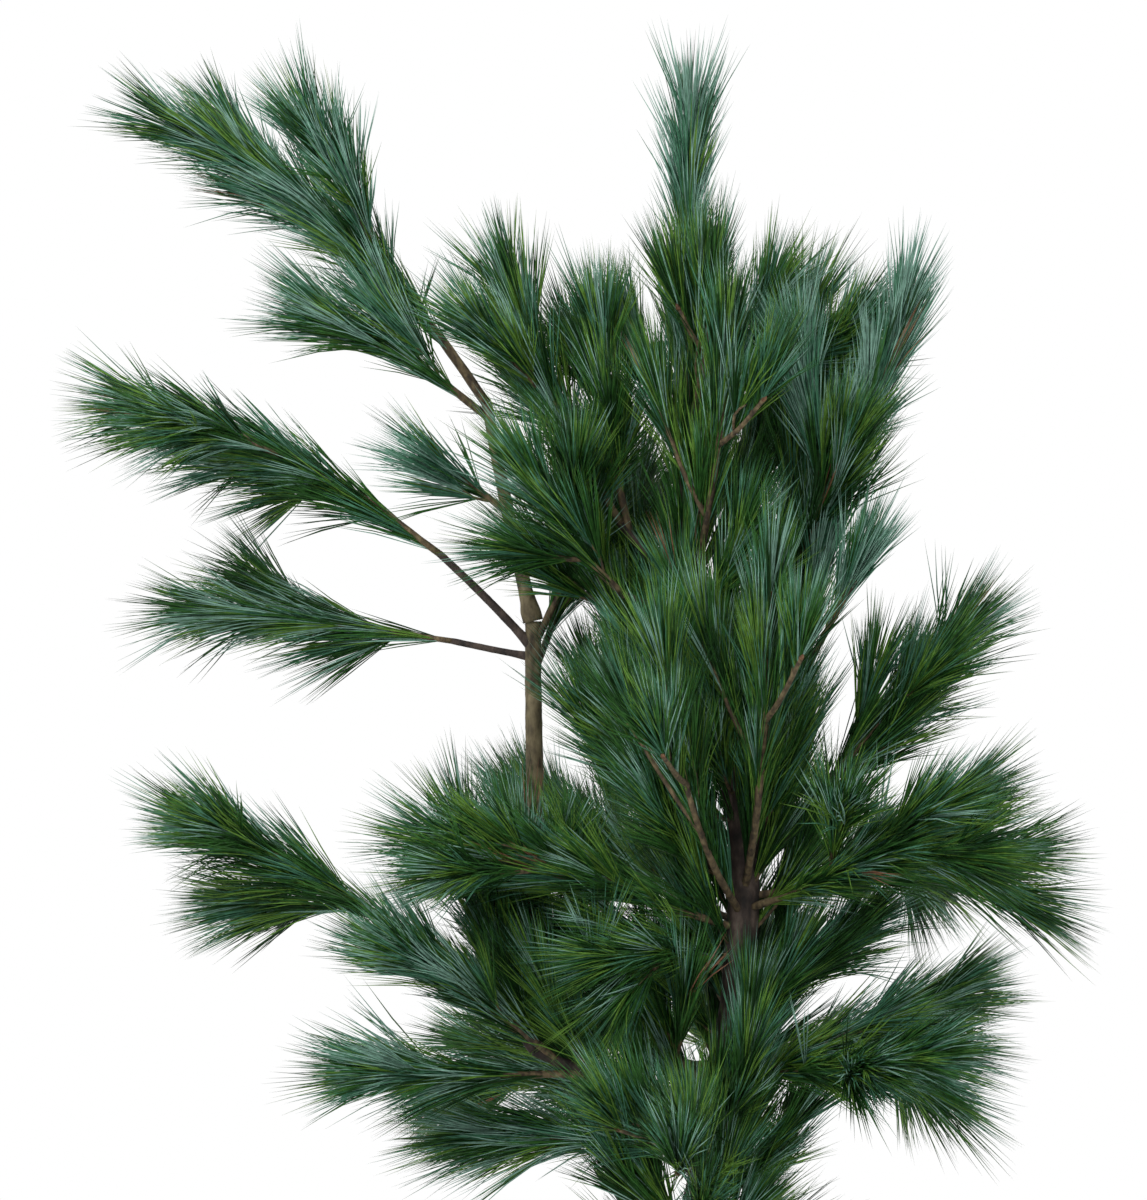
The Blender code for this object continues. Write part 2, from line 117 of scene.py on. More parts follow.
# Finer twigs, which only the looks have
FINE_SPACING = 0.036
FINE_LENGTH = 0.044
FINE_LENGTH_SPAN = (0.65, 1.15)
FINE_SPREAD = 24
FINE_SPREAD_SPAN = (0.7, 1.2)
FINE_CURL = 0.45
FINE_PLACE_SPAN = (0.12, 0.80)
FINE_STEP_SPAN = (0.1, 0.9)
FINE_RADIUS = 0.0013
FINE_TIP_RADIUS = 0.0010
FINE_BARE = 0.15
FINE_REACH = 0.9
# How far a twig turns up for each part of its mass's lift
UPTURN_OF_LIFT = 1.3
UPTURN_SPAN = (0.6, 1.2)

# Bundles of needles, with angles in degrees from the twig that they stand on
NEEDLES_IN_BUNDLE = 5
BUNDLE_SPACING = 0.00205
FEWEST_BUNDLES = 4
ANGLE_BASE = 7
ANGLE_TIP = 20
ANGLE_JITTER = 4.0
TURN_JITTER = 12
STRAY_SHARE = 0.035
STRAY_ANGLE = 2.1
LIFT_SPAN = (0.5, 1.3)
BUNDLE_SPREAD = 0.055
# The denser tuft at a twig's end: it is full on a twig of this length or more
END_BUNDLES = 15
FEWEST_END_BUNDLES = 6
FULL_TUFT_LENGTH = 0.08
END_LENGTH = 0.018
END_SHARE = 0.3
END_ANGLE_SPAN = (1, 25)
END_ANGLE_POWER = 0.8
# One needle: its bend is a share of its length, and a station is (share of length, share of width)
NEEDLE_LENGTH = 0.096
NEEDLE_LENGTH_SPAN = (0.70, 1.06)
LENGTH_SPAN_IN_BUNDLE = (0.94, 1.04)
NEEDLE_WIDTH = 0.00115
NEEDLE_WIDTH_SPAN = (0.85, 1.15)
NEEDLE_DROOP = (0.00, 0.12)
NEEDLE_BEND = 0.035
NEEDLE_SIDES = 3
NEEDLE_SIDE_GUIDE = (0.31, 0.17, 0.93)
NEEDLE_STATIONS = ((0.0, 0.70), (0.55, 1.00))
NEEDLE_TRIANGLES = 9
# Needles are tested against the wood at these shares of their length, and stay this clear of it
TESTED_SHARES = (0.45, 0.62, 0.8, 1.0)
TESTED_AT_ONCE = 4000
TRUNK_TEST_STEP = 0.006
BOUGH_TEST_STEP = 0.005
LIMB_CLEARANCE = 0.0008
# How far tips may pass the solids' box, and the most triangles in one joined piece
BOX_MARGIN = 0.004
PIECE_TRIANGLES = 190000

# Lift is how far needles sweep up. It is strong on stems that leave the trunk to the front or the
# back, where their azimuth has at least this sine
CENTRE_SINE = 0.80
CENTRE_LIFT = 0.75
SIDE_LIFT = 0.02
# Stems on the trunk are leafy further in: this share of their bare stretch stays bare
INNER_BARE = 0.35
# The trunk's own needles, from this height to its top
TRUNK_NEEDLES_FROM = 0.50
TRUNK_BUNDLE_SPACING = 0.0012
TRUNK_NEEDLE_ANGLE = 18
TRUNK_ANGLE_JITTER = 5
TRUNK_TIP_SHARE = 0.3
# Short leafy shoots on the trunk. There are none in front where its bark shows, and low down
# they keep to the sides and the back
SHOOT_COUNT = 66
SHOOT_HEIGHTS = (0.150, 0.70)
SHOOT_LENGTH = (0.05, 0.11)
SHOOT_RISE = (22, 60)
SHOOT_UPTURN = 0.3
SHOOT_BARE = 0.12
SHOOT_LIFT = 0.22
SHOOT_RADIUS = 0.00182
OPEN_HEIGHTS = (0.30, 0.50)
OPEN_AZIMUTHS = (225, 315)
LOW_SHOOTS_UNDER = 0.30
LOW_SHOOT_AZIMUTHS = (110, 385)
# Short leafy shoots on limbs whose foot is hidden: (bough, count, span, azimuths)
LEAFY_BOUGHS = (
    ("bough_left_stem_foot", 22, (0.10, 0.98), (150, 290)),
    ("bough_middle_left", 16, (0.15, 0.98), (140, 250)),
    ("bough_middle_right", 8, (0.10, 0.70), (250, 300)),
    ("bough_low_left", 12, (0.45, 1.00), (165, 225)),
    ("bough_right_rising", 4, (0.80, 1.00), (345, 380)),
)
# Masses with a lift of their own: below 0 the needles droop
LIFTS = {
    "needles_left_plume": -0.12,
    "needles_left_level_plume": -0.03,
    "needles_right_small": 0.40,
    "needles_right_spire": 0.26,
    "needles_low_left_upper": 0.13,
    "needles_low_left_plume": -0.03,
    "needles_low_left_lower": 0.10,
    "needles_left_front_plume": 0.10,
    "needles_middle_left": 0.10,
    "needles_bottom_front": 0.05,
    "needles_bottom_back": 0.05,
}
# Stems with a bare share of their own
BARES = {"needles_right_small": 0.66, "needles_bottom_front": 0.3, "needles_bottom_back": 0.3}
# How many times further apart the bundles are where sky shows between the needles
AIRY = {
    "needles_right_plume": 2.3,
    "needles_right_low_plume": 2.0,
    "needles_right_spire": 1.3,
    "needles_bottom_front": 1.5,
    "needles_bottom_back": 1.5,
    "needles_top_left": 1.6,
    "needles_leader": 1.3,
    "needles_low_left_lower": 1.4,
    "needles_bottom_left": 1.3,
}

# Tints of needles: (name, base colour in linear light, share by which it varies)
TINTS = (
    ("deep", (0.010, 0.045, 0.009), 0.40),
    ("green", (0.030, 0.110, 0.020), 0.35),
    ("fresh", (0.100, 0.210, 0.030), 0.30),
    ("blue", (0.055, 0.170, 0.100), 0.30),
    ("pale", (0.190, 0.340, 0.270), 0.25),
    ("dry", (0.230, 0.110, 0.065), 0.30),
)
TINT_PLACES = (0.30, 0.52, 0.72)
TINT_SCALE = 190
TINT_DETAIL = 2.0
NEEDLE_ROUGHNESS = 0.52
NEEDLE_SPECULAR = 0.16
# Barks: (name, colours of its furrows, plates and edges, scale of its pattern, depth of its grain)
BARKS = (
    ("dark_bark", (0.010, 0.007, 0.006), (0.036, 0.024, 0.019), (0.110, 0.080, 0.062), 120, 0.0006),
    ("olive_bark", (0.035, 0.026, 0.014), (0.120, 0.095, 0.050), (0.230, 0.190, 0.110), 130, 0.0005),
    ("twig_bark", (0.030, 0.020, 0.012), (0.100, 0.070, 0.036), (0.210, 0.160, 0.080), 220, 0.0003),
    ("bud_scales", (0.060, 0.026, 0.014), (0.160, 0.075, 0.035), (0.270, 0.160, 0.080), 500, 0.0003),
)
BARK_PLACES = (0.34, 0.52, 0.74)
PLATE_DETAIL = 6.0
PLATE_STRETCH = (1, 1, 0.5)
GRAIN_DETAIL = 4.0
GRAIN_STRETCH = (1, 1, 0.6)
GRAIN_FINENESS = 5
GRAIN_STRENGTH = 0.55
BARK_ROUGHNESS = (0.68, 0.95)
# Shares of the tints, in their order: at a limb's foot, at its tip, and in a mass that looks bluish
# More of the darkest greens at a limb's foot is partly painted shade of the crown's inside. More pale
# grey-green at the tip is partly painted highlight and partly the needles' own waxy bloom.
FOOT_SHARES_WITH_PAINTED_SHADE = (0.35, 0.34, 0.26, 0.04, 0.012, 0.0015)
TIP_SHARES_WITH_PAINTED_HIGHLIGHT = (0.20, 0.29, 0.17, 0.21, 0.140, 0.0020)
COOL_SHARES = (0.03, 0.07, 0.02, 0.38, 0.500, 0.0010)
# How bluish a mass looks, from 0 to 1
COOL_MASSES = {
    "needles_leader": 0.95,
    "needles_right_spire": 1.00,
    "needles_right_small": 0.95,
    "needles_left_stem_tuft": 0.90,
    "needles_left_stem_side": 0.45,
    "needles_top_left_plume": 0.45,
    "needles_left_plume": 0.15,
    "needles_left_level_plume": 0.20,
    "needles_low_left_upper": 0.35,
    "needles_low_left_lower": 0.40,
    "needles_bottom_left": 0.35,
    "needles_right_low_plume": 0.30,
    "needles_top_left": 0.30,
    "needles_upper_left": 0.20,
}

Bough = namedtuple("Bough", "name parent place azimuth rise rise_tip length radius tip_radius")
Mass = namedtuple("Mass", "name parent place azimuth rise rise_tip length bare twigs turn")
Limb = namedtuple("Limb", "mass line bare radius tip_radius lift")
Bundles = namedtuple("Bundles", "root heading share")
Needles = namedtuple("Needles", "root heading bend length width roll tint")

# A place on the trunk is a height in metres, and on a bough it is a share of its length
BOUGHS = (
    Bough("bough_left_stem_foot", "trunk", 0.336, 168, 0, 88, 0.235, 0.0084, 0.0074),
    Bough("bough_left_stem", "bough_left_stem_foot", 1.0, 180, 88, 90, 0.215, 0.0074, 0.0066),
    Bough("bough_left_stem_top", "bough_left_stem", 1.0, 180, 76, 80, 0.180, 0.0062, 0.0044),
    Bough("bough_left_rising", "bough_left_stem", 0.90, 187, 48, 42, 0.108, 0.0036, 0.0030),
    Bough("bough_left_level", "bough_left_stem", 0.865, 171, 10, 12, 0.068, 0.0028, 0.0025),
    Bough("bough_low_left", "trunk", 0.305, 192, 14, 26, 0.160, 0.0062, 0.0048),
    Bough("bough_low_left_rising", "bough_low_left", 1.0, 184, 54, 34, 0.132, 0.0034, 0.0029),
    Bough("bough_middle_left", "trunk", 0.482, 190, 32, 88, 0.124, 0.0052, 0.0040),
    Bough("bough_middle_right", "trunk", 0.505, 350, 64, 88, 0.145, 0.0064, 0.0050),
    Bough("bough_right_rising", "trunk", 0.492, 6, 42, 55, 0.112, 0.0044, 0.0034),
    Bough("bough_upper_left", "trunk", 0.722, 184, 44, 50, 0.075, 0.0042, 0.0036),
    Bough("bough_upper_left_level", "trunk", 0.700, 216, 14, 20, 0.070, 0.0036, 0.0031),
)
OLIVE_BOUGHS = ("bough_left_stem_foot", "bough_left_stem", "bough_left_stem_top")

# Bare is the share of the stem's foot with no needles. Twigs branch from the rest of it, the
# first at this turn round the stem: 0 is on its upper side, 90 to the right as it points away.
MASSES = (
    Mass("needles_leader", "trunk", 0.860, 180, 88, 92, 0.235, 0.10, 0, 0),
    Mass("needles_top_left", "trunk", 0.846, 176, 48, 70, 0.085, 0.20, 0, 0),
    Mass("needles_top_right", "trunk", 0.836, 8, 52, 72, 0.130, 0.20, 1, 180),
    Mass("needles_top_front", "trunk", 0.850, 285, 48, 76, 0.120, 0.20, 1, 90),
    Mass("needles_top_back", "trunk", 0.842, 92, 45, 66, 0.130, 0.20, 1, 180),
    Mass("needles_left_plume", "bough_left_rising", 1.0, 187, 40, 14, 0.258, 0.0, 2, 120),
    Mass("needles_left_level_plume", "bough_left_level", 1.0, 173, 9, 5, 0.190, 0.0, 1, 60),
    Mass("needles_top_left_plume", "bough_left_stem_top", 1.0, 176, 58, 26, 0.335, 0.12, 2, 300),
    Mass("needles_left_stem_side", "bough_left_stem_top", 0.93, 193, 40, 26, 0.145, 0.10, 1, 20),
    Mass("needles_left_stem_tuft", "bough_left_stem_top", 0.50, 198, 38, 30, 0.055, 0.10, 0, 0),
    Mass("needles_right_spire", "bough_middle_right", 0.80, 346, 75, 72, 0.335, 0.15, 1, 20),
    Mass("needles_right_top", "bough_middle_right", 1.0, 45, 84, 74, 0.270, 0.05, 2, 60),
    Mass("needles_right_small", "bough_middle_right", 0.62, 318, 72, 50, 0.160, 0.38, 0, 0),
    Mass("needles_right_plume", "trunk", 0.478, 352, 10, 10, 0.200, 0.30, 2, 60),
    Mass("needles_right_upper_plume", "bough_right_rising", 1.0, 8, 50, 44, 0.140, 0.05, 1, 90),
    Mass("needles_right_inner", "bough_right_rising", 0.45, 335, 80, 88, 0.070, 0.15, 0, 0),
    Mass("needles_right_low_plume", "trunk", 0.345, 350, 9, 6, 0.150, 0.28, 2, 50),
    Mass("needles_right_low_rising", "trunk", 0.375, 12, 34, 36, 0.120, 0.25, 0, 0),
    Mass("needles_low_left_plume", "bough_low_left_rising", 1.0, 184, 33, 22, 0.178, 0.0, 2, 150),
    Mass("needles_low_left_upper", "bough_low_left", 0.86, 218, 38, 26, 0.165, 0.10, 1, 90),
    Mass("needles_low_left_lower", "bough_low_left", 0.70, 206, 2, 2, 0.170, 0.16, 1, 90),
    Mass("needles_left_front_plume", "trunk", 0.452, 206, 18, 14, 0.260, 0.25, 2, 110),
    Mass("needles_middle_left", "bough_middle_left", 1.0, 176, 74, 62, 0.190, 0.0, 2, 90),
    Mass("needles_upper_left", "bough_upper_left", 1.0, 184, 56, 72, 0.200, 0.05, 2, 90),
    Mass("needles_upper_left_inner", "bough_upper_left", 0.86, 215, 72, 86, 0.160, 0.10, 1, 90),
    Mass("needles_upper_left_level", "bough_upper_left_level", 1.0, 210, 34, 64, 0.115, 0.05, 1, 180),
    Mass("needles_upper_right", "trunk", 0.724, 28, 48, 78, 0.245, 0.20, 1, 90),
    Mass("needles_upper_front", "trunk", 0.712, 285, 45, 78, 0.230, 0.15, 2, 60),
    Mass("needles_upper_back", "trunk", 0.705, 80, 35, 60, 0.240, 0.20, 2, 60),
    Mass("needles_upper_back_left", "trunk", 0.692, 132, 38, 60, 0.180, 0.20, 1, 90),
    Mass("needles_left_stem_right", "bough_left_stem", 0.90, 335, 58, 80, 0.170, 0.12, 1, 90),
    Mass("needles_left_stem_back", "bough_left_stem", 0.80, 68, 40, 62, 0.170, 0.20, 1, 90),
    Mass("needles_middle_front", "trunk", 0.480, 276, 38, 84, 0.280, 0.20, 2, 60),
    Mass("needles_middle_front_left", "trunk", 0.462, 246, 30, 72, 0.260, 0.20, 2, 60),
    Mass("needles_middle_front_right", "trunk", 0.468, 312, 14, 32, 0.220, 0.20, 2, 60),
    Mass("needles_middle_back", "trunk", 0.484, 84, 30, 50, 0.290, 0.25, 2, 240),
    Mass("needles_middle_back_left", "trunk", 0.458, 126, 8, 18, 0.310, 0.30, 2, 60),
    Mass("needles_middle_back_right", "trunk", 0.466, 48, 12, 16, 0.270, 0.30, 2, 60),
    Mass("needles_low_front_left", "trunk", 0.430, 222, 6, 2, 0.130, 0.20, 2, 60),
    Mass("needles_low_front", "trunk", 0.288, 262, -4, 8, 0.260, 0.22, 2, 60),
    Mass("needles_low_front_right", "trunk", 0.334, 318, 8, 10, 0.190, 0.22, 1, 90),
    Mass("needles_low_back", "trunk", 0.330, 88, 4, 14, 0.280, 0.25, 2, 60),
    Mass("needles_low_back_left", "trunk", 0.300, 136, 4, 12, 0.270, 0.25, 2, 60),
    Mass("needles_low_back_right", "trunk", 0.345, 44, 2, 10, 0.250, 0.25, 2, 60),
    Mass("needles_bottom_left", "trunk", 0.272, 186, 10, 2, 0.180, 0.20, 1, 90),
    Mass("needles_bottom_front", "trunk", 0.190, 282, -4, 2, 0.140, 0.20, 1, 90),
    Mass("needles_bottom_back", "trunk", 0.174, 66, 2, 6, 0.160, 0.20, 1, 90),
)

MASS_NAMES = [mass.name for mass in MASSES]

# Drawn detail of the wood
TRUNK_DRAWN_RINGS = 380
TRUNK_DRAWN_SIDES = 42
BOUGH_DRAWN_STEP = 0.0028
BOUGH_DRAWN_SIDES = 18
TWIG_DRAWN_STEP = 0.010
TWIG_DRAWN_SIDES = 6
# Relief: depths are shares of a limb's radius, and a layer is (scale, weight)
TRUNK_RELIEF = 0.055
BOUGH_RELIEF = 0.0715
TWIG_RELIEF = 0.16
RELIEF_SCALE = 330
RELIEF_TURN = 0.012
RELIEF_STRETCH = 0.45
COARSE_LAYER = (0.45, 0.55)
FINE_LAYER = (1.7, 0.30)
FURROW_LEVEL = 0.25
# Collars under the trunk's limbs: a part of each runs all round the trunk
COLLAR_HEIGHT = 0.011
COLLAR_DROP = 0.004
COLLAR_DEPTH = 0.22
COLLAR_ROUND = 0.3
COLLAR_REACH = 3
# A bough's own foot swells by this share, over this length
FOOT_SWELL = 0.35
FOOT_SWELL_LENGTH = 0.010
# A bud of full size, and its outline as (share of length, share of radius)
BUD_LENGTH = 0.0085
BUD_RADIUS = 0.0023
BUD_SIDES = 8
BUD_OUTLINE = ((0.0, 0.55), (0.25, 0.95), (0.5, 1.0), (0.75, 0.65), (0.92, 0.3), (1.0, 0.05))

# Camera, as the photograph was taken: its frame is 1147 x 1200 pixels
CAMERA_PLACE = (-0.0788, -3.0, 0.716)
CAMERA_LENS = 112.5
SENSOR = 36.0
# Lights: (name, place, size, energy)
LIGHTS = (
    ("key", (-1.6, -2.4, 2.8), 1.2, 60),
    ("rim", (1.6, 1.8, 2.2), 1.6, 18),
)
LIGHT_TARGET = Vector((0, 0, 0.65))
FLOOR_RADIUS = 1.30
FLOOR_SIDES = 128
FLOOR_TONES = ((0.3, (0.76, 0.76, 0.75)), (0.7, (0.80, 0.80, 0.79)))
FLOOR_SCALE = 6
FLOOR_ROUGHNESS = 0.8

UP = Vector((0, 0, 1))
SEED = 7


# Lines of the limbs, by the rule of the part's source


def direction(azimuth, rise):
    """The unit vector at this azimuth and rise."""
    turn = math.radians(azimuth)
    tilt = math.radians(rise)
    return Vector((math.cos(turn) * math.cos(tilt), math.sin(turn) * math.cos(tilt), math.sin(tilt)))


def arc(start, limb, step):
    """The centreline of a limb whose rise turns evenly from its base to its tip."""
    count = max(2, round(limb.length / step))
    points = [start]
    for i in range(count):
        rise = limb.rise + (limb.rise_tip - limb.rise) * (i + 0.5) / count
        points.append(points[-1] + direction(limb.azimuth, rise) * (limb.length / count))
    return points


def smooth_point(p0, p1, p2, p3, t):
    """The point at share t between p1 and p2, on a smooth curve through all four."""
    slope = (p2 - p0) * t
    bend = (2 * p0 - 5 * p1 + 4 * p2 - p3) * t**2
    twist = (3 * p1 - p0 - 3 * p2 + p3) * t**3
    return p1 + (slope + bend + twist) / 2


def trunk_line():
    """Evenly spaced points on a smooth curve through the trunk's stations."""
    points = [Vector((x, y, height)) for height, x, y in TRUNK_LINE]
    ends = [2 * points[0] - points[1]] + points + [2 * points[-1] - points[-2]]
    line = []
    for i in range(TRUNK_RINGS):
        height = TRUNK_HEIGHT * i / (TRUNK_RINGS - 1)
        k = max(j for j in range(len(points) - 1) if points[j].z <= height)
        t = (height - points[k].z) / (points[k + 1].z - points[k].z)
        point = smooth_point(*ends[k : k + 4], t)
        point.z = height
        line.append(point)
    return line


def along(line, share):
    """The point and the direction at this share of the line's length."""
    pairs = list(zip(line, line[1:]))
    left = share * sum((b - a).length for a, b in pairs)
    for a, b in pairs:
        length = (b - a).length
        if left <= length:
            return a.lerp(b, left / length), (b - a).normalized()
        left -= length
    a, b = pairs[-1]
    return b.copy(), (b - a).normalized()


def at_height(line, height):
    """The point of the trunk's centreline at this height."""
    for a, b in zip(line, line[1:]):
        if height <= b.z:
            return a.lerp(b, (height - a.z) / (b.z - a.z))
    return line[-1].copy()


def turned(axis, angle, turn):
    """The unit vector at this angle from the axis, at this turn from the axis's upper side."""
    right = axis.cross(UP).normalized()
    upper = right.cross(axis)
    across = upper * math.cos(math.radians(turn)) + right * math.sin(math.radians(turn))
    return axis * math.cos(math.radians(angle)) + across * math.sin(math.radians(angle))


def twig_lines(mass, line, rng):
    """Centrelines of the side twigs of a mass's stem, turned round it by a seeded rule."""
    twigs = []
    for i in range(mass.twigs):
        step = (i + rng.uniform(*TWIG_STEP_SPAN)) / mass.twigs
        share = mass.bare + (1 - mass.bare) * (FIRST_TWIG_PLACE + TWIG_PLACE_SPAN * step)
        foot, axis = along(line, share)
        angle = TWIG_SPREAD + rng.uniform(-TWIG_SPREAD_JITTER, TWIG_SPREAD_JITTER)
        heading = turned(axis, angle, mass.turn + GOLDEN_ANGLE * i)
        length = mass.length * (1 - share / 2) * TWIG_SHARE
        middle = foot + heading * length / 2
        twigs.append([foot, middle, middle + heading * length / 2 + axis * length * TWIG_CURL])
    return twigs


def limb_start(limb, lines):
    """Where a limb leaves its parent's centreline."""
    parent = lines[limb.parent]
    if limb.parent == "trunk":
        return at_height(parent, limb.place)
    return along(parent, limb.place)[0]


def line_length(line):
    """The length of a centreline."""
    return sum((b - a).length for a, b in zip(line, line[1:]))


def fine_twigs(limb, rng):
    """Finer twigs along a limb, which end before the limb's own tip does."""
    length = line_length(limb.line)
    made = []
    count = round(length * (1 - limb.bare) / FINE_SPACING)
    low, high = FINE_PLACE_SPAN
    for i in range(count):
        step = low + (high - low) * (i + rng.uniform(*FINE_STEP_SPAN)) / count
        share = limb.bare + (1 - limb.bare) * step
        foot, axis = along(limb.line, share)
        wanted = FINE_LENGTH * rng.uniform(*FINE_LENGTH_SPAN)
        reach = min(wanted, FINE_REACH * length * (1 - share))
        heading = turned(axis, FINE_SPREAD * rng.uniform(*FINE_SPREAD_SPAN), rng.uniform(0, 360))
        upturn = limb.lift * UPTURN_OF_LIFT * rng.uniform(*UPTURN_SPAN)
        heading = (heading + UP * upturn).normalized()
        tip = foot + heading * reach * (1 - FINE_CURL) + axis * reach * FINE_CURL
        line = [foot, foot + heading * reach / 2, tip]
        made.append(Limb(limb.mass, line, FINE_BARE, FINE_RADIUS, FINE_TIP_RADIUS, limb.lift))
    return made


# Meshes


def new_piece(name, points, corners, starts, finish):
    """A smooth-shaded mesh piece that rides on the plant, from flat arrays."""
    mesh = bpy.data.meshes.new(name)
    mesh.vertices.add(len(points))
    mesh.vertices.foreach_set("co", np.asarray(points, np.float32).ravel())
    mesh.loops.add(len(corners))
    mesh.loops.foreach_set("vertex_index", np.asarray(corners, np.int32))
    mesh.polygons.add(len(starts))
    mesh.polygons.foreach_set("loop_start", np.asarray(starts, np.int32))
    mesh.update(calc_edges=True)
    mesh.validate()
    mesh.shade_smooth()
    mesh.materials.append(finish)
    piece = bpy.data.objects.new(name, mesh)
    bpy.context.scene.collection.objects.link(piece)
    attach(piece, "root")
    return piece


class Tubes:
    """Closed tubes gathered into one mesh."""

    def __init__(self):
        """Start with no tube."""
        self.points = []
        self.corners = []
        self.starts = []

    def face(self, indices):
        """Add a face by its corners."""
        self.starts.append(len(self.corners))
        self.corners.extend(indices)

    def add(self, line, radii, sides, swell=None, level_foot=False):
        """Add a tube. Swell is a factor on its radius by centre, direction outwards and angle."""
        first = len(self.points)
        last = len(line) - 1
        axes = [(line[min(i + 1, last)] - line[max(i - 1, 0)]).normalized() for i in range(last + 1)]
        if level_foot:
            axes[0] = UP.copy()
        side = axes[0].orthogonal().normalized()
        for i, (centre, axis, radius) in enumerate(zip(line, axes, radii)):
            side = (side - axis * side.dot(axis)).normalized()
            across = axis.cross(side)
            for k in range(sides):
                angle = 2 * math.pi * k / sides
                out = side * math.cos(angle) + across * math.sin(angle)
                factor = swell(centre, out, angle) if swell else 1.0
                self.points.append(centre + out * (radius * factor))
        for i in range(last):
            low = first + i * sides
            for k in range(sides):
                after = (k + 1) % sides
                self.face((low + k, low + after, low + sides + after, low + sides + k))
        self.face([first + k for k in reversed(range(sides))])
        self.face([first + last * sides + k for k in range(sides)])

    def piece(self, name, finish):
        """All tubes as one piece with the bark's slot."""
        return new_piece(name, self.points, self.corners, self.starts, finish)


def refined(line, step):
    """Points every step along a smooth curve through the line's own points."""
    ends = [2 * line[0] - line[1]] + list(line) + [2 * line[-1] - line[-2]]
    points = []
    for k in range(len(line) - 1):
        count = max(1, round((line[k + 1] - line[k]).length / step))
        points += [smooth_point(*ends[k : k + 4], i / count) for i in range(count)]
    return points + [line[-1].copy()]


def taper(start, end, count):
    """Evenly tapering radii."""
    return [start + (end - start) * i / (count - 1) for i in range(count)]


def bark_relief(centre, out, depth):
    """A factor near 1: plates and furrows that run with the limb, from layered noise."""
    place = centre + out * RELIEF_TURN
    place.z *= RELIEF_STRETCH
    place *= RELIEF_SCALE
    relief = abs(noise.noise(place)) - FURROW_LEVEL
    for scale, weight in (COARSE_LAYER, FINE_LAYER):
        relief += weight * noise.noise(place * scale)
    return 1 + depth * relief


# Finishes


def ramp_between(tree, factor, stops):
    """A colour ramp over a factor, with stops as (place, colour)."""
    ramp = tree.nodes.new("ShaderNodeValToRGB")
    elements = ramp.color_ramp.elements
    while len(elements) < len(stops):
        elements.new(0.5)
    for element, (place, colour) in zip(elements, stops):
        element.position = place
        element.color = (*colour, 1.0)
    tree.links.new(factor, ramp.inputs["Fac"])
    return ramp.outputs["Color"]


def noise_of(tree, scale, detail=3.0, stretch=(1, 1, 1)):
    """A noise texture in the plant's own coordinates."""
    place = tree.nodes.new("ShaderNodeTexCoord")
    mapping = tree.nodes.new("ShaderNodeMapping")
    mapping.inputs["Scale"].default_value = stretch
    texture = tree.nodes.new("ShaderNodeTexNoise")
    texture.inputs["Scale"].default_value = scale
    texture.inputs["Detail"].default_value = detail
    tree.links.new(place.outputs["Object"], mapping.inputs["Vector"])
    tree.links.new(mapping.outputs["Vector"], texture.inputs["Vector"])
    return texture.outputs["Fac"]


def new_finish(name):
    """A material with its node tree and its shader."""
    made = bpy.data.materials.new(name)
    made.use_nodes = True
    return made, made.node_tree, made.node_tree.nodes["Principled BSDF"]


def scaled(colour, factor):
    """A colour made lighter or darker."""
    return tuple(channel * factor for channel in colour)


def needle_finish(name, colour, spread):
    """Soft waxy green that changes a little from bundle to bundle."""
    made, tree, shader = new_finish(name)
    colours = (scaled(colour, 1 - spread), colour, scaled(colour, 1 + spread))
    pattern = noise_of(tree, TINT_SCALE, TINT_DETAIL)
    varied = ramp_between(tree, pattern, tuple(zip(TINT_PLACES, colours)))
    tree.links.new(varied, shader.inputs["Base Color"])
    shader.inputs["Roughness"].default_value = NEEDLE_ROUGHNESS
    shader.inputs["Specular IOR Level"].default_value = NEEDLE_SPECULAR
    return made


def bark_finish(name, dark, mid, light, scale, bump_depth):
    """Bark with plates, furrows and fine grain."""
    made, tree, shader = new_finish(name)
    plates = noise_of(tree, scale, PLATE_DETAIL, PLATE_STRETCH)
    varied = ramp_between(tree, plates, tuple(zip(BARK_PLACES, (dark, mid, light))))
    tree.links.new(varied, shader.inputs["Base Color"])
    grain = noise_of(tree, scale * GRAIN_FINENESS, GRAIN_DETAIL, GRAIN_STRETCH)
    bump = tree.nodes.new("ShaderNodeBump")
    bump.inputs["Strength"].default_value = GRAIN_STRENGTH
    bump.inputs["Distance"].default_value = bump_depth
    tree.links.new(grain, bump.inputs["Height"])
    tree.links.new(bump.outputs["Normal"], shader.inputs["Normal"])
    rough = tree.nodes.new("ShaderNodeMapRange")
    for end, roughness in zip(("To Min", "To Max"), BARK_ROUGHNESS):
        rough.inputs[end].default_value = roughness
    tree.links.new(grain, rough.inputs["Value"])
    tree.links.new(rough.outputs["Result"], shader.inputs["Roughness"])
    return made


# Trunk and boughs


def wood_radius(height):
    """The trunk's radius at this height, with its root flare."""
    wood = FOOT_RADIUS + (TOP_RADIUS - FOOT_RADIUS) * height / TRUNK_HEIGHT
    return wood + FLARE * math.exp(-height / FLARE_HEIGHT)


def build_trunk(line, finish):
    """The trunk with bark relief, collars under its limbs and the lobes of its root flare."""
    collars = [limb for limb in BOUGHS + MASSES if limb.parent == "trunk" and limb.place < TRUNK_HEIGHT]

    def swell(centre, out, angle):
        lobes = FLARE_LOBE_DEPTH * math.exp(-centre.z / FLARE_HEIGHT) * math.cos(FLARE_LOBES * angle)
        collar = 0.0
        for limb in collars:
            near = (centre.z - limb.place + COLLAR_DROP) / COLLAR_HEIGHT
            if abs(near) < COLLAR_REACH:
                facing = max(0.0, out.dot(direction(limb.azimuth, 0)))
                collar += math.exp(-near * near) * (COLLAR_ROUND + (1 - COLLAR_ROUND) * facing**2)
        return bark_relief(centre, out, TRUNK_RELIEF) + lobes + COLLAR_DEPTH * min(collar, 1.0)

    drawn = refined(line, TRUNK_HEIGHT / TRUNK_DRAWN_RINGS)
    tubes = Tubes()
    tubes.add(drawn, [wood_radius(p.z) for p in drawn], TRUNK_DRAWN_SIDES, swell, level_foot=True)
    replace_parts(tubes.piece("trunk_bark", finish), "trunk")


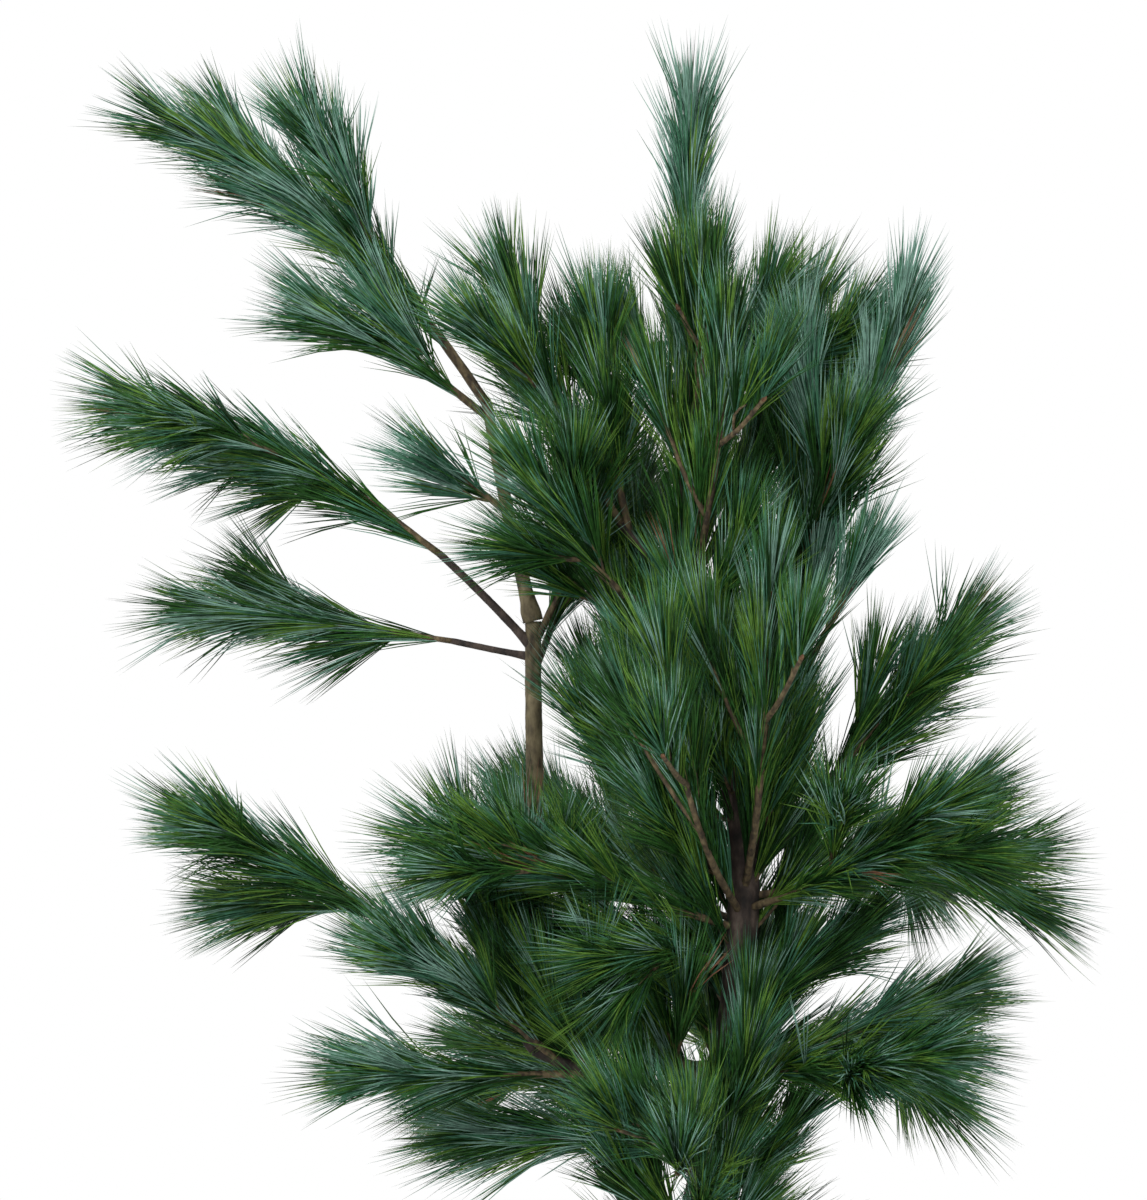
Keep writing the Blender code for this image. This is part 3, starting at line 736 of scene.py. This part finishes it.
def build_boughs(lines, names, piece_name, finish):
    """Boughs with bark relief and a swollen foot, which runs on into the parent."""

    def swell(centre, out, angle):
        return bark_relief(centre, out, BOUGH_RELIEF)

    tubes = Tubes()
    for bough in (bough for bough in BOUGHS if bough.name in names):
        drawn = refined(lines[bough.name], BOUGH_DRAWN_STEP)
        radii = taper(bough.radius, bough.tip_radius, len(drawn))
        joint = wood_radius(bough.place) if bough.parent == "trunk" else bough.radius
        for i, point in enumerate(drawn):
            reach = max(0.0, (point - drawn[0]).length - joint)
            radii[i] *= 1 + FOOT_SWELL * math.exp(-((reach / FOOT_SWELL_LENGTH) ** 2))
        tubes.add(drawn, radii, BOUGH_DRAWN_SIDES, swell)
    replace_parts(tubes.piece(piece_name, finish), *names)


def bud_shape(tubes, foot, axis, size):
    """A pointed bud of a few rings that stands on the tip of a twig."""
    line = [foot + axis * (BUD_LENGTH * size * share) for share, radius in BUD_OUTLINE]
    radii = [BUD_RADIUS * size * radius for share, radius in BUD_OUTLINE]
    tubes.add(line, radii, BUD_SIDES)


# Needles


def sampled(line, shares):
    """Points and directions at many shares of a line's length."""
    points = np.array([tuple(p) for p in line])
    steps = np.diff(points, axis=0)
    lengths = np.linalg.norm(steps, axis=1)
    ends = np.concatenate([[0.0], np.cumsum(lengths)])
    wanted = np.asarray(shares) * ends[-1]
    place = np.stack([np.interp(wanted, ends, points[:, i]) for i in range(3)], axis=1)
    index = np.clip(np.searchsorted(ends, wanted, side="right") - 1, 0, len(steps) - 1)
    return place, steps[index] / lengths[index][:, None]


def unit(vectors):
    """Each row as a unit vector."""
    return vectors / np.linalg.norm(vectors, axis=1, keepdims=True)


def turned_many(axis, angles, turns):
    """As turned, for many axes at once and with angles in radians."""
    right = unit(np.cross(axis, (0.0, 0.0, 1.0)) + (1e-9, 0.0, 0.0))
    upper = np.cross(right, axis)
    across = upper * np.cos(turns)[:, None] + right * np.sin(turns)[:, None]
    return axis * np.cos(angles)[:, None] + across * np.sin(angles)[:, None]


def bundles_on(limb, rng):
    """The bundles along a limb, with a denser tuft at its end."""
    length = line_length(limb.line)
    spacing = BUNDLE_SPACING * AIRY.get(limb.mass, 1.0)
    count = max(FEWEST_BUNDLES, round(length * (1 - limb.bare) / spacing))
    step = (np.arange(count) + rng.uniform(0, 1, count)) / count
    share = limb.bare + (1 - limb.bare) * step
    angle = ANGLE_BASE + (ANGLE_TIP - ANGLE_BASE) * step + rng.normal(0, ANGLE_JITTER, count)
    stray = rng.uniform(0, 1, count) < STRAY_SHARE
    angle = np.where(stray, angle * STRAY_ANGLE, angle)
    turn = np.arange(count) * GOLDEN_ANGLE + rng.uniform(0, 360) + rng.normal(0, TURN_JITTER, count)
    tuft = max(FEWEST_END_BUNDLES, round(END_BUNDLES * min(1.0, length / FULL_TUFT_LENGTH)))
    end_share = 1 - rng.uniform(0, 1, tuft) * min(END_SHARE, END_LENGTH / length)
    narrow, wide = END_ANGLE_SPAN
    end_angle = narrow + (wide - narrow) * rng.uniform(0, 1, tuft) ** END_ANGLE_POWER
    share = np.concatenate([share, end_share])
    angle = np.radians(np.abs(np.concatenate([angle, end_angle])))
    turn = np.radians(np.concatenate([turn, rng.uniform(0, 360, tuft)]))
    root, axis = sampled(limb.line, share)
    lift = limb.lift * rng.uniform(*LIFT_SPAN, len(share))
    heading = unit(turned_many(axis, angle, turn) + np.array(UP) * lift[:, None])
    return Bundles(root, heading, share)


def dealt_tints(share, cool, rng):
    """The tint of each bundle, by its place along the limb and by how bluish its mass is."""
    share = share[:, None]
    # Darker towards a limb's foot as painted shade, paler towards its tip as painted highlight, each in
    # part.
    weights = np.array(FOOT_SHARES_WITH_PAINTED_SHADE) * (1 - share) + np.array(TIP_SHARES_WITH_PAINTED_HIGHLIGHT) * share
    weights = weights * (1 - cool) + np.array(COOL_SHARES) * cool
    heaps = np.cumsum(weights, axis=1)
    draw = rng.uniform(0, 1, len(share)) * heaps[:, -1]
    return (heaps > draw[:, None]).argmax(axis=1)


def needles_of(bundles, tints, rng):
    """The needles of each bundle, which spread a little and bend."""
    root = np.repeat(bundles.root, NEEDLES_IN_BUNDLE, axis=0)
    heading = np.repeat(bundles.heading, NEEDLES_IN_BUNDLE, axis=0)
    count = len(root)
    heading = unit(heading + rng.normal(0, BUNDLE_SPREAD, (count, 3)))
    bend = rng.normal(0, NEEDLE_BEND, (count, 3))
    bend[:, 2] -= rng.uniform(*NEEDLE_DROOP, count)
    bundle_length = rng.uniform(*NEEDLE_LENGTH_SPAN, len(bundles.root))
    length = NEEDLE_LENGTH * np.repeat(bundle_length, NEEDLES_IN_BUNDLE)
    length = length * rng.uniform(*LENGTH_SPAN_IN_BUNDLE, count)
    width = NEEDLE_WIDTH * rng.uniform(*NEEDLE_WIDTH_SPAN, count)
    roll = rng.uniform(0, 2 * math.pi, count)
    return Needles(root, heading, bend, length, width, roll, np.repeat(tints, NEEDLES_IN_BUNDLE))


def trunk_needles(line):
    """Needles on the younger part of the trunk, swept up along it."""
    young = [point for point in line if point.z >= TRUNK_NEEDLES_FROM]
    rng = np.random.default_rng([SEED, len(MASSES)])
    count = round(line_length(young) / TRUNK_BUNDLE_SPACING)
    share = (np.arange(count) + rng.uniform(0, 1, count)) / count
    root, axis = sampled(young, share)
    angle = np.radians(np.abs(rng.normal(TRUNK_NEEDLE_ANGLE, TRUNK_ANGLE_JITTER, count)))
    turn = np.radians(np.arange(count) * GOLDEN_ANGLE + rng.normal(0, TURN_JITTER, count))
    bundles = Bundles(root, turned_many(axis, angle, turn), share)
    # The trunk's needles take mostly the foot's darker tints, partly painted shade of the crown's
    # inside.
    return needles_of(bundles, dealt_tints(share * TRUNK_TIP_SHARE, 0.0, rng), rng)


def centre_at(needles, t):
    """The point of each needle's centreline at this share of its length."""
    return needles.root + (needles.heading * t + needles.bend * t * t) * needles.length[:, None]


def clear_of_wood(needles, wood_points, wood_radii):
    """Which needles stay out of the trunk and the boughs and inside the solids' own box."""
    clear = np.ones(len(needles.root), bool)
    for t in TESTED_SHARES:
        place = centre_at(needles, t)
        for first in range(0, len(place), TESTED_AT_ONCE):
            part = slice(first, first + TESTED_AT_ONCE)
            apart = np.linalg.norm(place[part, None, :] - wood_points[None, :, :], axis=2)
            clear[part] &= (apart > wood_radii[None, :]).all(axis=1)
    tip = centre_at(needles, 1.0)
    low, high = (np.array(corner) for corner in cad_box)
    return clear & (tip > low - BOX_MARGIN).all(axis=1) & (tip < high + BOX_MARGIN).all(axis=1)


def needle_faces():
    """Corners and starts of the faces of one needle, whose last point is its tip."""
    tip = NEEDLE_SIDES * len(NEEDLE_STATIONS)
    corners = []
    starts = []
    for low in range(0, tip, NEEDLE_SIDES):
        high = low + NEEDLE_SIDES
        for k in range(NEEDLE_SIDES):
            after = (k + 1) % NEEDLE_SIDES
            starts.append(len(corners))
            corners += [low + k, low + after]
            corners += [high + after, high + k] if high < tip else [tip]
    return np.array(corners), np.array(starts)


def needle_piece(name, needles, finish):
    """One joined mesh of slim needles that taper to a point."""
    side = unit(np.cross(needles.heading, NEEDLE_SIDE_GUIDE))
    across = np.cross(needles.heading, side)
    numbers = np.arange(len(needles.root))[:, None]
    points = np.empty((len(numbers), NEEDLE_SIDES * len(NEEDLE_STATIONS) + 1, 3))
    for s, (t, thickness) in enumerate(NEEDLE_STATIONS):
        centre = centre_at(needles, t)
        for k in range(NEEDLE_SIDES):
            angle = needles.roll + 2 * math.pi * k / NEEDLE_SIDES
            out = side * np.cos(angle)[:, None] + across * np.sin(angle)[:, None]
            points[:, s * NEEDLE_SIDES + k] = centre + out * (needles.width * thickness / 2)[:, None]
    points[:, -1] = centre_at(needles, 1.0)
    corners, starts = needle_faces()
    all_corners = (corners + numbers * points.shape[1]).ravel()
    all_starts = (starts + numbers * len(corners)).ravel()
    return new_piece(name, points.reshape(-1, 3), all_corners, all_starts, finish)


# Growing the plant


def wood_samples(lines):
    """Points and radii along the trunk and the boughs, which needles stay out of."""
    points = []
    radii = []
    for point in refined(lines["trunk"], TRUNK_TEST_STEP):
        points.append(tuple(point))
        radii.append(wood_radius(point.z) + LIMB_CLEARANCE)
    for bough in BOUGHS:
        drawn = refined(lines[bough.name], BOUGH_TEST_STEP)
        points += [tuple(p) for p in drawn]
        radii += [r + LIMB_CLEARANCE for r in taper(bough.radius, bough.tip_radius, len(drawn))]
    return np.array(points), np.array(radii)


def lift_of(mass):
    """How far a mass's needles sweep up."""
    central = mass.parent == "trunk" and abs(math.sin(math.radians(mass.azimuth))) > CENTRE_SINE
    return LIFTS.get(mass.name, CENTRE_LIFT if central else SIDE_LIFT)


def bare_share_of(mass):
    """The share of a mass's stem that has no needles."""
    inner = INNER_BARE if mass.parent == "trunk" else 1.0
    return BARES.get(mass.name, mass.bare * inner)


def grown_limbs(lines):
    """Every stem, side twig and finer twig of the masses, and every leafy shoot."""
    tip_radii = {bough.name: bough.tip_radius for bough in BOUGHS}
    limbs = []
    for mass in MASSES:
        line = arc(limb_start(mass, lines), mass, STEM_STEP)
        foot_radius = tip_radii[mass.parent] if mass.place == 1.0 else STEM_RADIUS
        rng = random.Random(mass.name)
        lift = lift_of(mass)
        main = [Limb(mass.name, line, bare_share_of(mass), foot_radius, STEM_TIP_RADIUS, lift)]
        for twig in twig_lines(mass, line, rng):
            main.append(Limb(mass.name, twig, TWIG_BARE, TWIG_RADIUS, TWIG_TIP_RADIUS, lift))
        for limb in list(main):
            main += fine_twigs(limb, rng)
        limbs += main
    return limbs + trunk_shoots(lines["trunk"]) + bough_shoots(lines)


def trunk_shoots(line):
    """Short leafy shoots round the trunk, which fill the crown's middle."""
    rng = random.Random("shoots")
    shoots = []
    low, high = SHOOT_HEIGHTS
    for i in range(SHOOT_COUNT):
        height = low + (high - low) * (i + rng.uniform(0, 1)) / SHOOT_COUNT
        azimuth = (GOLDEN_ANGLE * i) % 360
        if height < LOW_SHOOTS_UNDER:
            azimuth = rng.uniform(*LOW_SHOOT_AZIMUTHS)
        in_open_height = OPEN_HEIGHTS[0] < height < OPEN_HEIGHTS[1]
        in_front = OPEN_AZIMUTHS[0] < azimuth < OPEN_AZIMUTHS[1]
        if not (in_open_height and in_front):
            shoots.append(leafy_shoot(at_height(line, height), azimuth, rng))
    return shoots


def bough_shoots(lines):
    """Short leafy shoots on the boughs whose foot is hidden among needles."""
    rng = random.Random("bough shoots")
    shoots = []
    for name, count, (low, high), azimuths in LEAFY_BOUGHS:
        for i in range(count):
            share = low + (high - low) * (i + rng.uniform(0, 1)) / count
            shoots.append(leafy_shoot(along(lines[name], share)[0], rng.uniform(*azimuths), rng))
    return shoots


def leafy_shoot(start, azimuth, rng):
    """A short shoot that turns up towards its tip."""
    heading = direction(azimuth, rng.uniform(*SHOOT_RISE))
    length = rng.uniform(*SHOOT_LENGTH)
    tip = start + (heading + UP * SHOOT_UPTURN).normalized() * length
    line = [start, start + heading * length / 2, tip]
    return Limb("shoots", line, SHOOT_BARE, SHOOT_RADIUS, FINE_TIP_RADIUS, SHOOT_LIFT)


def build_twigs(limbs, finish, bud_finish):
    """All twigs joined, and the buds of stems and side twigs joined."""

    def swell(centre, out, angle):
        return bark_relief(centre, out, TWIG_RELIEF)

    twigs = Tubes()
    buds = Tubes()
    for limb in limbs:
        drawn = refined(limb.line, TWIG_DRAWN_STEP)
        radii = taper(limb.radius, limb.tip_radius, len(drawn))
        twigs.add(drawn, radii, TWIG_DRAWN_SIDES, swell)
        if limb.tip_radius >= TWIG_TIP_RADIUS:
            axis = (drawn[-1] - drawn[-2]).normalized()
            foot = drawn[-1] - axis * limb.tip_radius / 2
            bud_shape(buds, foot, axis, limb.tip_radius / STEM_TIP_RADIUS)
    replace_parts(twigs.piece("twigs", finish), *MASS_NAMES)
    buds.piece("buds", bud_finish)


def build_needles(limbs, lines):
    """Grow the needles on every limb, leave out those that enter wood, and join them by tint."""
    grown = []
    for i, limb in enumerate(limbs):
        rng = np.random.default_rng([SEED, i])
        bundles = bundles_on(limb, rng)
        tints = dealt_tints(bundles.share, COOL_MASSES.get(limb.mass, 0.0), rng)
        grown.append(needles_of(bundles, tints, rng))
    grown.append(trunk_needles(lines["trunk"]))
    needles = Needles(*(np.concatenate(values) for values in zip(*grown)))
    clear = clear_of_wood(needles, *wood_samples(lines))
    for number, (tint, colour, spread) in enumerate(TINTS):
        chosen = np.flatnonzero(clear & (needles.tint == number))
        pieces = max(1, math.ceil(len(chosen) * NEEDLE_TRIANGLES / PIECE_TRIANGLES))
        finish = needle_finish("needles_" + tint, colour, spread)
        for k, part in enumerate(np.array_split(chosen, pieces)):
            joined = Needles(*(values[part] for values in needles))
            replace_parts(needle_piece(f"needles_{tint}_{k + 1}", joined, finish), *MASS_NAMES)


def build_plant():
    """The whole plant: wood, twigs and buds, and needles."""
    lines = {"trunk": trunk_line()}
    for bough in BOUGHS:
        lines[bough.name] = arc(limb_start(bough, lines), bough, BOUGH_STEP)
    dark_bark, olive_bark, twig_bark, bud_scales = (bark_finish(*bark) for bark in BARKS)
    build_trunk(lines["trunk"], dark_bark)
    others = [bough.name for bough in BOUGHS if bough.name not in OLIVE_BOUGHS]
    build_boughs(lines, OLIVE_BOUGHS, "stem_bark", olive_bark)
    build_boughs(lines, others, "bough_bark", dark_bark)
    limbs = grown_limbs(lines)
    build_twigs(limbs, twig_bark, bud_scales)
    build_needles(limbs, lines)


# Stage


def area_light(name, place, size, energy):
    """A soft square lamp that faces the middle of the plant."""
    lamp = bpy.data.lights.new(name, "AREA")
    lamp.size = size
    lamp.energy = energy
    made = bpy.data.objects.new(name, lamp)
    made.location = place
    made.rotation_euler = (LIGHT_TARGET - made.location).to_track_quat("-Z", "Y").to_euler()
    bpy.context.scene.collection.objects.link(made)


def build_floor():
    """A pale round floor under the plant, too small for its edge to show from the front."""
    mesh = bpy.data.meshes.new("floor")
    rim = [direction(360 * k / FLOOR_SIDES, 0) * FLOOR_RADIUS for k in range(FLOOR_SIDES)]
    mesh.from_pydata([tuple(point) for point in rim], [], [tuple(range(FLOOR_SIDES))])
    finish, tree, shader = new_finish("floor")
    varied = ramp_between(tree, noise_of(tree, FLOOR_SCALE), FLOOR_TONES)
    tree.links.new(varied, shader.inputs["Base Color"])
    shader.inputs["Roughness"].default_value = FLOOR_ROUGHNESS
    mesh.materials.append(finish)
    floor = bpy.data.objects.new("floor", mesh)
    bpy.context.scene.collection.objects.link(floor)


def build_stage():
    """White surroundings, soft studio light and the photograph's camera."""
    scene = bpy.context.scene
    world = bpy.data.worlds.new("white")
    scene.world = world
    world.use_nodes = True
    background = world.node_tree.nodes["Background"]
    background.inputs["Color"].default_value = (1.0, 1.0, 1.0, 1.0)
    background.inputs["Strength"].default_value = 1.0
    scene.view_settings.view_transform = "Standard"
    scene.cycles.max_bounces = 4
    scene.cycles.diffuse_bounces = 2
    for light in LIGHTS:
        area_light(*light)
    camera = bpy.data.objects.new("camera", bpy.data.cameras.new("camera"))
    camera.location = CAMERA_PLACE
    camera.rotation_euler = (math.radians(90), 0, 0)
    camera.data.lens = CAMERA_LENS
    camera.data.sensor_width = SENSOR
    scene.collection.objects.link(camera)
    scene.camera = camera
    build_floor()


build_plant()
build_stage()
